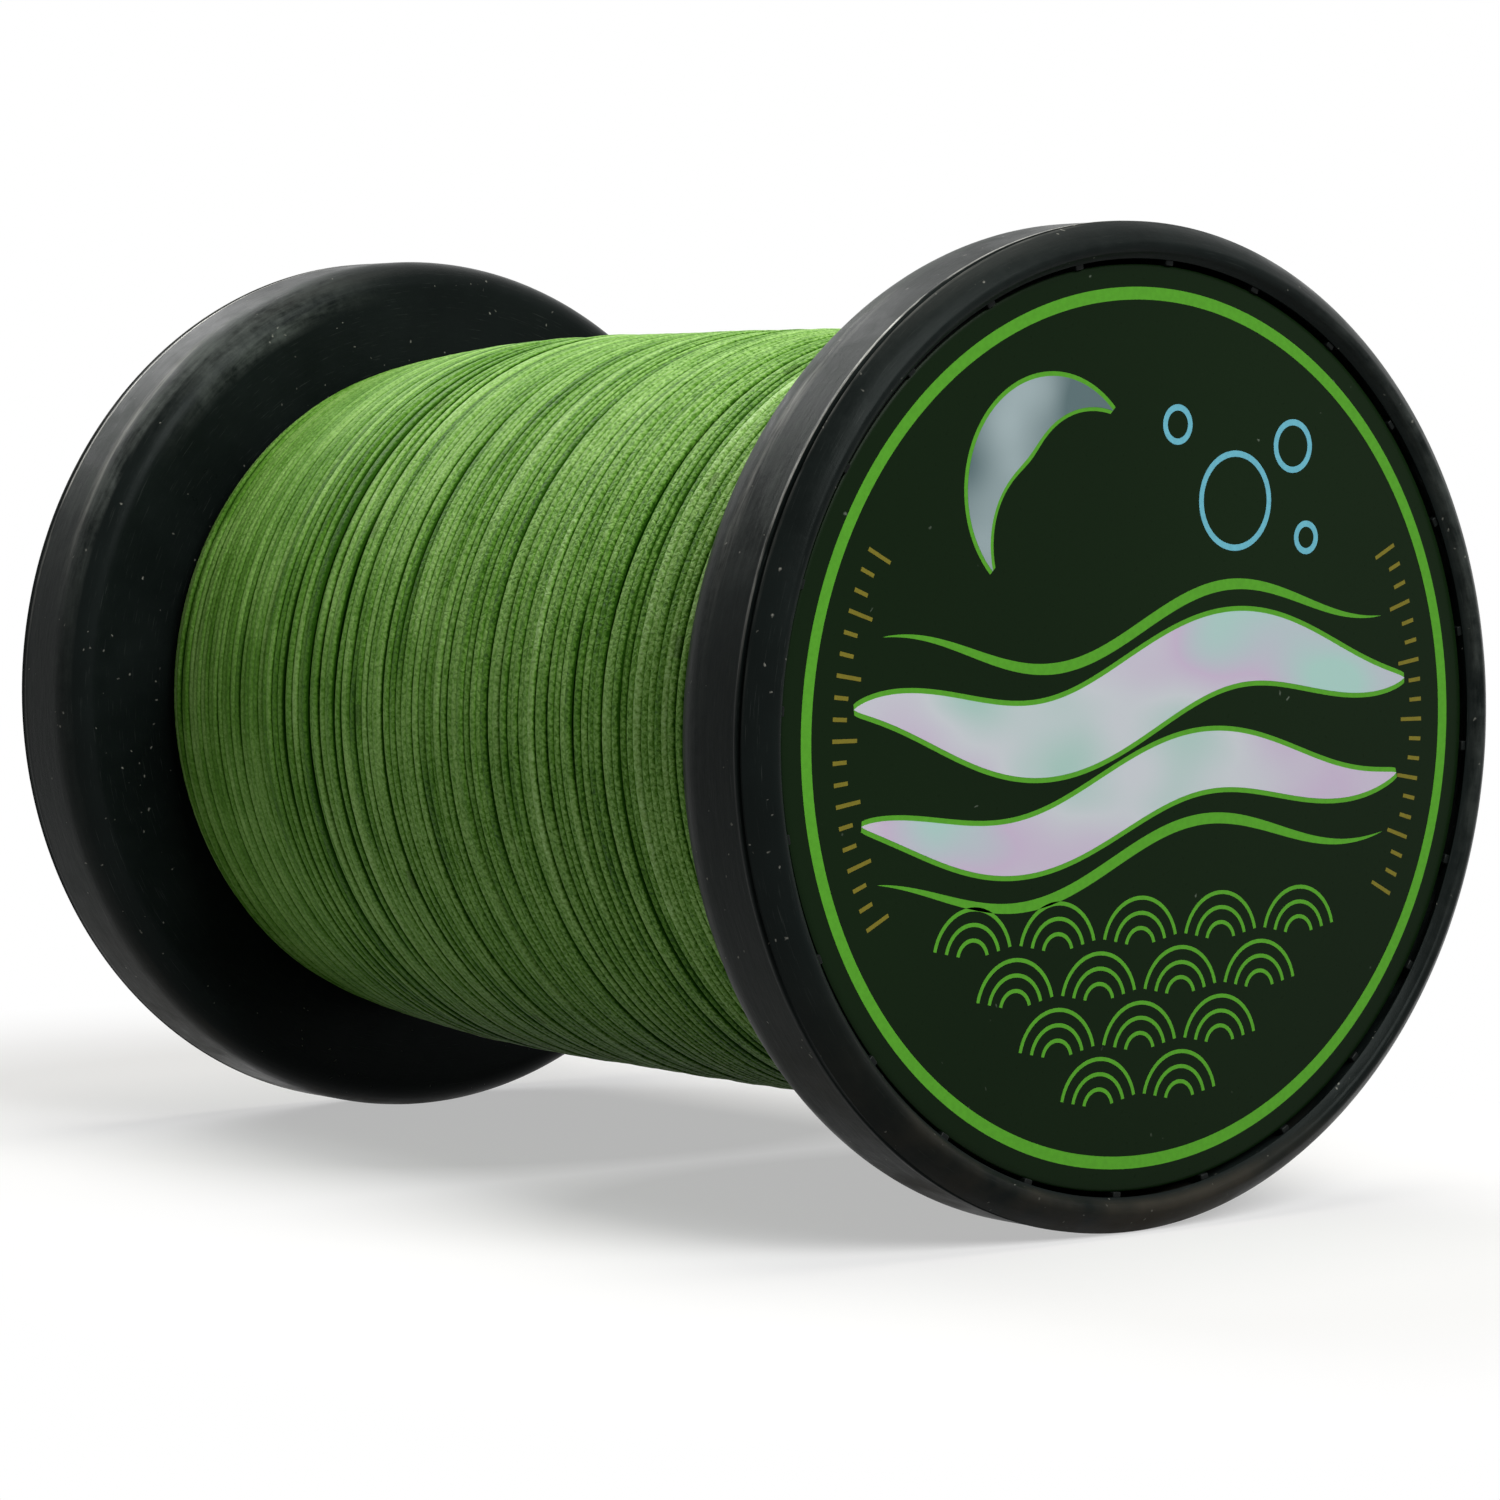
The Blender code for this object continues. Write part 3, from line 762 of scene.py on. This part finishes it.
def parting_line(radius, depth, angle, share):
    """The groove and its flash fade out low on the left flank, and waver elsewhere."""
    strength = 1.0 - 0.7 * near_angle(angle, *FAINT_PLACE)
    strength = strength * (0.85 + 0.15 * np.sin(9 * angle) * np.sin(4 * angle + 1.0))
    near = (depth > NOSE_DEPTH) & (depth < NOSE_DEPTH + GROOVE_WIDTH + FLASH_FOOT[1])
    return np.where(near, SIDE_RADIUS + (radius - SIDE_RADIUS) * strength * share, radius)


def rim_marks(radius, depth, angle):
    """Where the rim is scuffed and painted with highlights, where a painted highlight runs along
    its flash line, and where it has lighter brownish patches.
    """
    zones = {name: (depth >= least) & (depth < most) & (radius > FLANGE_RADIUS - inset)
             for name, (least, most, inset) in RIM_ZONES.items()}
    marks = {"wear": np.where(zones["side"], SIDE_WEAR, 0.0), "flash": 0.0}
    for mark, zone, strength, middle, spread in RIM_MARKS:
        here = strength * near_angle(angle, middle, spread)
        marks[mark] = marks[mark] + np.where(zones[zone], here, 0.0)
    marks["grime"] = np.where(zones["nose"] | zones["side"], near_angle(angle, *LOW_PATCH_PLACE), 0.0)
    return marks


# Faces of a box whose corners change depth first, then side, then radius
PLATE_FACES = ((0, 1, 3, 2), (4, 6, 7, 5), (0, 4, 5, 1), (2, 3, 7, 6), (0, 2, 6, 4),
               (1, 5, 7, 3))


def add_plate(points, faces, side, angle, span, depths, width):
    """One radial plate between two radii and two depths, added to a mesh's points and faces."""
    out = np.array([math.cos(angle), 0.0, math.sin(angle)])
    aside = np.array([-math.sin(angle), 0.0, math.cos(angle)])
    base = len(points)
    for radius in span:
        for way in (-0.5, 0.5):
            for depth in depths:
                place = out * radius + aside * way * width
                place[1] = side * (OUTER_PLANE - depth)
                points.append(tuple(place))
    for face in PLATE_FACES:
        faces.append(tuple(base + corner for corner in face))


def plates_mesh(name, side):
    """Small bridges across the slot, the ribs under them and the spokes of the web."""
    root = WEB_OUTER_DEPTH + EDGE_ROUND
    bridge = ((DISC_RADIUS + BRIDGE_CLEARANCE, RIM_INNER_RADIUS + OVERLAP),
              (LIP_DEPTH + BRIDGE_DROP, RIB_TOP_DEPTH + BRIDGE_ROOT), BRIDGE_WIDTH)
    rib = ((CATCH_RING_RADIUS - OVERLAP, RIM_INNER_RADIUS + OVERLAP),
           (RIB_TOP_DEPTH, root), RIB_WIDTH)
    spoke = ((BORE_RADIUS + 0.5 * HUB_WALL, CATCH_RING_RADIUS - OVERLAP),
             (WEB_OUTER_DEPTH - SPOKE_HEIGHT, root), SPOKE_WIDTH)
    points = []
    faces = []
    for count, plates in ((BRIDGE_COUNT, (bridge, rib)), (SPOKE_COUNT, (spoke,))):
        for index in range(count):
            angle = BRIDGE_TURN + math.tau * index / count
            for span, depths, width in plates:
                add_plate(points, faces, side, angle, span, depths, width)
    return build_mesh(name, points, faces)


def make_flange(place, side, groove_share, material, plain_material):
    """One moulded flange with its bridges, ribs and spokes."""
    name = place + "_flange_shell"

    def reshape(radius, depth, angle):
        return parting_line(radius, depth, angle, groove_share)

    mesh = turned_mesh(name, flange_outline(), side, reshape, rim_marks)
    shell = finish_mesh(name, mesh, material, "spool")
    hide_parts(place + "_flange")
    name = place + "_flange_plates"
    plates = finish_mesh(name, plates_mesh(name, side), plain_material, "spool")
    soften = plates.modifiers.new("soften", "BEVEL")
    soften.width = PLATE_ROUND
    soften.segments = 2


# ---------------------------------------------------------------- covers and films

def make_cover(place, side, material):
    """Push-fit disc under the film, with its plug ring."""
    outline = [
        (CENTRE_RADIUS, COVER_TOP_DEPTH),
        (DISC_RADIUS - EDGE_ROUND, COVER_TOP_DEPTH),
        (DISC_RADIUS - COVER_CORNER, COVER_TOP_DEPTH + COVER_CORNER),
        (DISC_RADIUS, COVER_TOP_DEPTH + EDGE_ROUND),
        (DISC_RADIUS, COVER_UNDER_DEPTH),
        (PLUG_RADIUS, COVER_UNDER_DEPTH),
        (PLUG_RADIUS, COVER_PLUG_DEPTH - EDGE_ROUND),
        (PLUG_RADIUS - EDGE_ROUND, COVER_PLUG_DEPTH),
        (PLUG_RADIUS - PLUG_WALL, COVER_PLUG_DEPTH),
        (PLUG_RADIUS - PLUG_WALL, COVER_UNDER_DEPTH),
        (CENTRE_RADIUS, COVER_UNDER_DEPTH),
    ]
    mesh = turned_mesh(place + "_cover_disc", outline, side)
    cover = finish_mesh(place + "_cover_disc", mesh, material, place + "_disc")
    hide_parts(place + "_cover")


def make_film(place, side, material):
    """Printed film on the disc."""
    low = COVER_RECESS + LABEL_THICKNESS
    outline = [(CENTRE_RADIUS, COVER_RECESS)]
    outline += [(DISC_RADIUS - inset * MM, COVER_RECESS + drop * MM) for inset, drop in FILM_EDGE]
    outline += [(DISC_RADIUS, low), (CENTRE_RADIUS, low)]
    mesh = turned_mesh(place + "_film", outline, side)
    film = finish_mesh(place + "_film", mesh, material, place + "_disc")
    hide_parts(place + "_label")


def print_shape(name, place, side, outlines, material, closed_loops=False, layer=1):
    """Printed shapes on the film: thin solid strips between a left and a right edge.

    Each outline is (left points, right points) in the label's plane, x to the right and y up as
    seen from outside the spool. A higher layer lies over a lower one.
    """
    top = OUTER_PLANE - COVER_RECESS + layer * INK_RISE
    low = OUTER_PLANE - COVER_RECESS - INK_RISE
    points = []
    faces = []
    for left, right in outlines:
        count = len(left)
        base = len(points)
        for level in (top, low):
            for x, y in list(left) + list(right):
                points.append((-side * x, side * level, y))
        last = count if closed_loops else count - 1
        for index in range(last):
            after = (index + 1) % count
            a, b = base + index, base + after
            c, d = base + count + after, base + count + index
            under = 2 * count
            faces += [(a, b, c, d), (a + under, d + under, c + under, b + under),
                      (a, a + under, b + under, b), (d, c, c + under, d + under)]
        if not closed_loops:
            for end in (base, base + count - 1):
                faces.append((end, end + count, end + 3 * count, end + 2 * count))
    mesh = build_mesh(name, points, faces)
    return finish_mesh(name, mesh, material, place + "_disc")


def band(centre, half_widths):
    """Left and right edge of a strip along a centre line."""
    centre = np.array(centre)
    tangent = np.gradient(centre, axis=0)
    tangent /= np.linalg.norm(tangent, axis=1)[:, None]
    normal = np.column_stack([-tangent[:, 1], tangent[:, 0]])
    width = np.broadcast_to(half_widths, len(centre))[:, None]
    return centre + normal * width, centre - normal * width


def round_ways(angle):
    """Unit steps in the label's plane towards some angles."""
    return np.column_stack([np.cos(angle), np.sin(angle)])


def circle_band(inner, outer, start, stop, centre=(0.0, 0.0), count=3):
    """Strip that follows a circle between two angles in degrees."""
    way = round_ways(np.radians(np.linspace(start, stop, count)))
    return way * outer + np.array(centre), way * inner + np.array(centre)


def whole_ring(inner, outer, centre=(0.0, 0.0), count=ROUND_STEPS):
    """Closed circular strip."""
    way = round_ways(math.tau * np.arange(count) / count)
    return way * outer + np.array(centre), way * inner + np.array(centre)


def wave_line(height, swing, reach, phase):
    """Centre line of a wave that crosses the label, in metres from millimetres."""
    x = np.linspace(-reach, reach, WAVE_POINTS)
    turn = math.tau * WAVE_PERIODS * x / (2 * reach) + phase
    return np.column_stack([x, height + WAVE_LEAN * x + swing * np.sin(turn)]) * MM


def tapered(count, ends):
    """Shares of the width that run out to a point at both ends of a strip."""
    share = np.abs(np.linspace(-1.0, 1.0, count))
    return np.clip((1.0 - share ** TAPER_ROUNDNESS) / ends, TAPER_LEAST, 1.0) ** TAPER_POWER


def crescent(centre, radius, shift, grow=0.0):
    """Crescent between a circle and a second one moved to the lower right, as a strip."""
    centre = np.array(centre)
    way = round_ways(np.radians(np.linspace(*CRESCENT_SPAN, CRESCENT_POINTS)))
    outer = (radius + grow) * way
    depth = shift * np.sin(np.linspace(0.0, math.pi, CRESCENT_POINTS)) + 2 * grow + CRESCENT_TIP
    inner = outer * (1.0 - depth / (radius + grow))[:, None]
    return (outer + centre) * MM, (inner + centre) * MM


def decorate(place, side, inks):
    """Generic print: border ring, waves, scallops, crescent, bubbles and ticks."""
    green, foil, gold, blue, silver = inks

    def put(label, shapes, ink, closed=False, layer=1):
        print_shape(place + "_print_" + label, place, side, shapes, ink, closed, layer)

    def wave(height, swing, reach, half, phase, ends, border=0.0):
        centre = wave_line(height, swing, reach, phase)
        return band(centre, half * MM * tapered(len(centre), ends) + border)

    put("ring", [whole_ring(RING_INNER, RING_OUTER)], green, True)
    put("ribbons", [wave(*row, 1.0) for row in RIBBONS], foil, layer=2)
    put("ribbon_borders", [wave(*row, 1.0, OUTLINE_WIDTH) for row in RIBBONS], green)
    put("thin_waves", [wave(*row, 0.9) for row in THIN_WAVES], green)
    scallops = []
    for row in range(SCALLOP_ROWS):
        for column in range(-3, 4):
            x = SCALLOP_PITCH[0] * (column + 0.5 * (row % 2))
            y = SCALLOP_TOP - SCALLOP_PITCH[1] * row
            if math.hypot(abs(x) + SCALLOP_MARGIN, y) < SCALLOP_REACH:
                scallops += [circle_band((radius - SCALLOP_HALF_LINE) * MM,
                                         (radius + SCALLOP_HALF_LINE) * MM, *SCALLOP_SPAN,
                                         (x * MM, y * MM), SCALLOP_POINTS)
                             for radius in SCALLOP_RADII]
    put("scallops", scallops, green)
    put("crescent", [crescent(*CRESCENT)], silver, layer=2)
    put("crescent_border", [crescent(*CRESCENT, CRESCENT_BORDER)], green)
    put("bubbles", [whole_ring((radius - BUBBLE_LINE) * MM, radius * MM, (x * MM, y * MM),
                               BUBBLE_POINTS) for x, y, radius in BUBBLES], blue, True)
    ticks = []
    for middle in (0, 180):
        for step in range(-TICK_REACH, TICK_REACH + 1):
            angle = middle + TICK_STEP * step
            length = TICK_LENGTHS[0] if step % 3 == 0 else TICK_LENGTHS[1]
            ticks.append(circle_band((TICK_OUTER - length) * MM, TICK_OUTER * MM,
                                     angle - TICK_HALF_TURN, angle + TICK_HALF_TURN))
    put("ticks", ticks, gold)


# ---------------------------------------------------------------- winding

def smooth_random(rng, places, spacing, size):
    """Smooth random values along the line, in knots a spacing apart."""
    count = int(places[-1] / spacing) + 4
    knots = rng.normal(0.0, size, count)
    at = places / spacing
    index = np.floor(at).astype(int)
    share = at - index
    ease = share * share * (3 - 2 * share)
    return knots[index] * (1 - ease) + knots[index + 1] * ease


def wander(rng, places, waves):
    """Sum of smooth random values, one for each (spacing, size)."""
    return sum(smooth_random(rng, places, spacing, size) for spacing, size in waves)


def winding_radius(place):
    """Radius of the winding's surface at a place along the axis; it falls towards the flanges."""
    from_end = np.minimum(WINDING_HALF - np.abs(place), LINE_END_REACH)
    rest = np.clip(1.0 - from_end / LINE_END_REACH, 0.0, 1.0)
    return WINDING_RADIUS - LINE_END_DROP * (1.0 - np.sqrt(1.0 - rest * rest))


def periodic(rng, angle, terms, size):
    """Smooth random wander round one turn that meets itself."""
    total = np.zeros_like(angle)
    for term in range(1, terms + 1):
        total += rng.normal(0.0, 1.0) * np.cos(term * angle + rng.uniform(0.0, math.tau))
    return size * total / math.sqrt(terms)


def open_grooves(rng, place, angle):
    """Gaps between some turns: how far they push the turns aside, and how strongly they sink them
    and darken them with painted shade.
    """
    push = np.zeros_like(place)
    dark = np.zeros_like(place)
    at = -WINDING_HALF + GROOVE_MARGINS[0]
    while at < WINDING_HALF - GROOVE_MARGINS[1]:
        path = at + periodic(rng, angle, 3, GROOVE_WANDER)
        strength = np.clip(rng.uniform(-0.2, 0.9) + periodic(rng, angle, 5, 0.6), 0.0, 1.0)
        away = (place - path) / GROOVE_REACH
        push += GROOVE_PUSH * strength * np.tanh(5.0 * away) * np.exp(-np.abs(away))
        dark += strength * np.exp(-away * away / 0.3)
        at += rng.uniform(*GROOVE_SPACING) * MM
    return push, np.clip(dark, 0.0, 1.0)


def make_winding(material):
    """Outer layer of line as one unbroken flattened tube."""
    rng = np.random.default_rng(SEED)
    turn = np.arange(LINE_TURNS * POINTS_PER_TURN + 1) / POINTS_PER_TURN
    angle = LINE_START_ANGLE + math.tau * turn
    lift = wander(rng, turn, LIFT_WAVES)
    sway = wander(rng, turn, SWAY_WAVES)
    edge = np.clip(np.minimum(turn, LINE_TURNS - turn) / 2.0, 0.0, 1.0)
    reach = WINDING_HALF - END_MARGIN
    even = -reach + 2 * reach * turn / LINE_TURNS
    push, dark = open_grooves(rng, even, angle)
    place_y = even + (sway + push) * edge
    radius = winding_radius(even) - 0.5 * LINE_THICKNESS - LINE_SINK + lift - GROOVE_SINK * dark
    side_angle = math.tau * np.arange(LINE_SIDES) / LINE_SIDES
    across = np.cos(side_angle)
    wide = np.sign(across) * np.abs(across) ** LINE_SQUARENESS[0] * LINE_WIDTH / 2
    high = np.sin(side_angle)
    high = np.sign(high) * np.abs(high) ** LINE_SQUARENESS[1] * LINE_THICKNESS / 2
    ring_radius = radius[:, None] + high[None, :]
    points = np.stack([ring_radius * np.cos(angle)[:, None],
                       np.broadcast_to(place_y[:, None] + wide[None, :], ring_radius.shape),
                       ring_radius * np.sin(angle)[:, None]], axis=-1)
    rings = len(points)
    faces = grid_faces(rings, LINE_SIDES, closed=False)
    faces.append(tuple(range(LINE_SIDES)))
    faces.append(tuple((rings - 1) * LINE_SIDES + side for side in range(LINE_SIDES)))
    mesh = build_mesh("line_winding", points.reshape(-1, 3).tolist(), faces)
    length = turn * math.tau * WINDING_RADIUS / MM
    # Painted shade: turns darken along the open grooves, and their edges darken more there.
    shade = MEAN_SHADE + wander(rng, turn, SHADE_WAVES) - 0.30 * dark
    edge_shade = np.clip(MEAN_EDGE_SHADE + wander(rng, turn, EDGE_SHADE_WAVES) + 0.40 * dark, 0.0, MOST_EDGE_SHADE)
    store(mesh, "along", np.repeat(length % 1000.0, LINE_SIDES))
    store(mesh, "across", np.tile(across, rings))
    store(mesh, "shade", np.repeat(shade, LINE_SIDES))
    store(mesh, "edge_shade", np.repeat(edge_shade, LINE_SIDES))
    winding = finish_mesh("line_winding", mesh, material, "spool", math.pi)
    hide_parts("line_outer_turns")


def make_under_layer(material):
    """Plain layer just under the outer turns, so that the gaps between them show line."""
    inner = CORE_RADIUS - UNDER_THICKNESS
    places = np.linspace(-WINDING_HALF, WINDING_HALF, UNDER_ROWS)
    outer = winding_radius(places) - UNDER_SINK
    outline = [(inner, OUTER_PLANE - WINDING_HALF)]
    outline += [(radius, OUTER_PLANE + place) for radius, place in zip(outer, places)]
    outline.append((inner, OUTER_PLANE + WINDING_HALF))
    mesh = turned_mesh("line_under_layer", outline, -1)
    under = finish_mesh("line_under_layer", mesh, material, "spool")
    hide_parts("line_core")


# ---------------------------------------------------------------- light and floor

def make_world():
    """White seen by the camera and in reflections, a softer grey for the light that falls."""
    world = bpy.data.worlds.new("studio")
    bpy.context.scene.world = world
    n = Nodes(world)
    background = n.tree.nodes["Background"]
    background.inputs["Color"].default_value = (1.0, 1.0, 1.0, 1.0)
    n.link(n.range(n.seen_directly(), 0.0, 1.0, AMBIENT, 1.0), background.inputs["Strength"])


def make_light(name, way, radiance, colour):
    """Soft square lamp that faces the spool from a direction."""
    data = bpy.data.lights.new(name, "AREA")
    data.shape = "RECTANGLE"
    data.size = LAMP_SIZE
    data.size_y = LAMP_SIZE
    data.energy = math.pi * LAMP_SIZE * LAMP_SIZE * radiance
    data.color = colour
    lamp = bpy.data.objects.new(name, data)
    way = Vector(way).normalized()
    lamp.location = way * LAMP_DISTANCE
    lamp.rotation_euler = (-way).to_track_quat("-Z", "Y").to_euler()
    bpy.context.scene.collection.objects.link(lamp)


def floor_material():
    """White in the distance, a soft grey shadow beside the spool; it throws back little light."""
    n = MaterialNodes("floor")
    n.set(Roughness=0.9, Specular_IOR_Level=0.0)
    seen = n.seen_directly()
    place = n.parts(n.new("ShaderNodeNewGeometry").outputs["Position"])
    beside = n.sub(n.math("ABSOLUTE", place["Y"]), FLANGE_FOOT)
    away = n.length(n.join(place["X"], beside, 0.0))
    far = n.range(away, FLOOR_NEAR, FLOOR_FAR, FLOOR_SHARE, 1.0)
    left = n.mul(n.range(place["X"], *LEFT_STRIP_NEAR), n.range(place["X"], *LEFT_STRIP_FAR))
    bounce = n.mix(left, FLOOR_BOUNCE, FLOOR_BOUNCE_LEFT)
    n.drive(Base_Color=n.mix(seen, bounce, FLOOR_COLOUR))
    glow = n.new("ShaderNodeEmission")
    glow.inputs["Color"].default_value = (1.0, 1.0, 1.0, 1.0)
    glow.inputs["Strength"].default_value = 1.0
    blend = n.new("ShaderNodeMixShader")
    n.link(n.mul(seen, far), blend.inputs["Fac"])
    n.link(n.shader.outputs["BSDF"], blend.inputs[1])
    n.link(glow.outputs["Emission"], blend.inputs[2])
    n.link(blend.outputs["Shader"], n.tree.nodes["Material Output"].inputs["Surface"])
    return n.material


def make_floor():
    """Wide pale floor that the spool stands on."""
    corners = [(x * FLOOR_REACH, y * FLOOR_REACH, FLOOR_HEIGHT)
               for x, y in ((-1, -1), (1, -1), (1, 1), (-1, 1))]
    mesh = build_mesh("floor", corners, [(0, 1, 2, 3)])
    mesh.materials.append(floor_material())
    floor = bpy.data.objects.new("floor", mesh)
    bpy.context.scene.collection.objects.link(floor)


def dress_cad_nodes():
    """Materials for the solids that the scene shows as they are."""
    inner_black = black_plastic("barrel_plastic", INNER_BLACK, 0.45, 0.3)
    tape = ink_material("paper_tape", PAPER, 0.8)
    for node, material in (("barrel", inner_black), ("spindle_tube", inner_black),
                           ("anchor_tape", tape)):
        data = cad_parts[node].data
        for index in range(len(data.materials)):
            data.materials[index] = material


def main():
    make_camera()
    bpy.context.scene.view_settings.view_transform = "Standard"
    make_world()
    make_floor()
    for lamp in LAMPS:
        make_light(*lamp)

    rim_black = rim_plastic()
    plate_black = black_plastic("plate_plastic", PLATE_BLACK, 0.32, 0.07)
    cover_black = black_plastic("cover_plastic", COVER_BLACK, 0.42, 0.2)
    film = film_material()
    inks = (ink_material("green_ink", GREEN_INK),
            shaded_ink("foil", (40.0, 40.0, 60.0), FOIL_COLOURS),
            ink_material("gold_ink", GOLD_INK),
            ink_material("blue_ink", BLUE_INK),
            shaded_ink("silver_ink", (70.0, 40.0, 70.0), SILVER_COLOURS))
    for place, side, groove_share in (("front", -1, 1.0), ("rear", 1, 0.3)):
        make_flange(place, side, groove_share, rim_black, plate_black)
        make_cover(place, side, cover_black)
        make_film(place, side, film)
        decorate(place, side, inks)
    make_winding(braid_material())
    make_under_layer(under_line_material())
    dress_cad_nodes()


main()
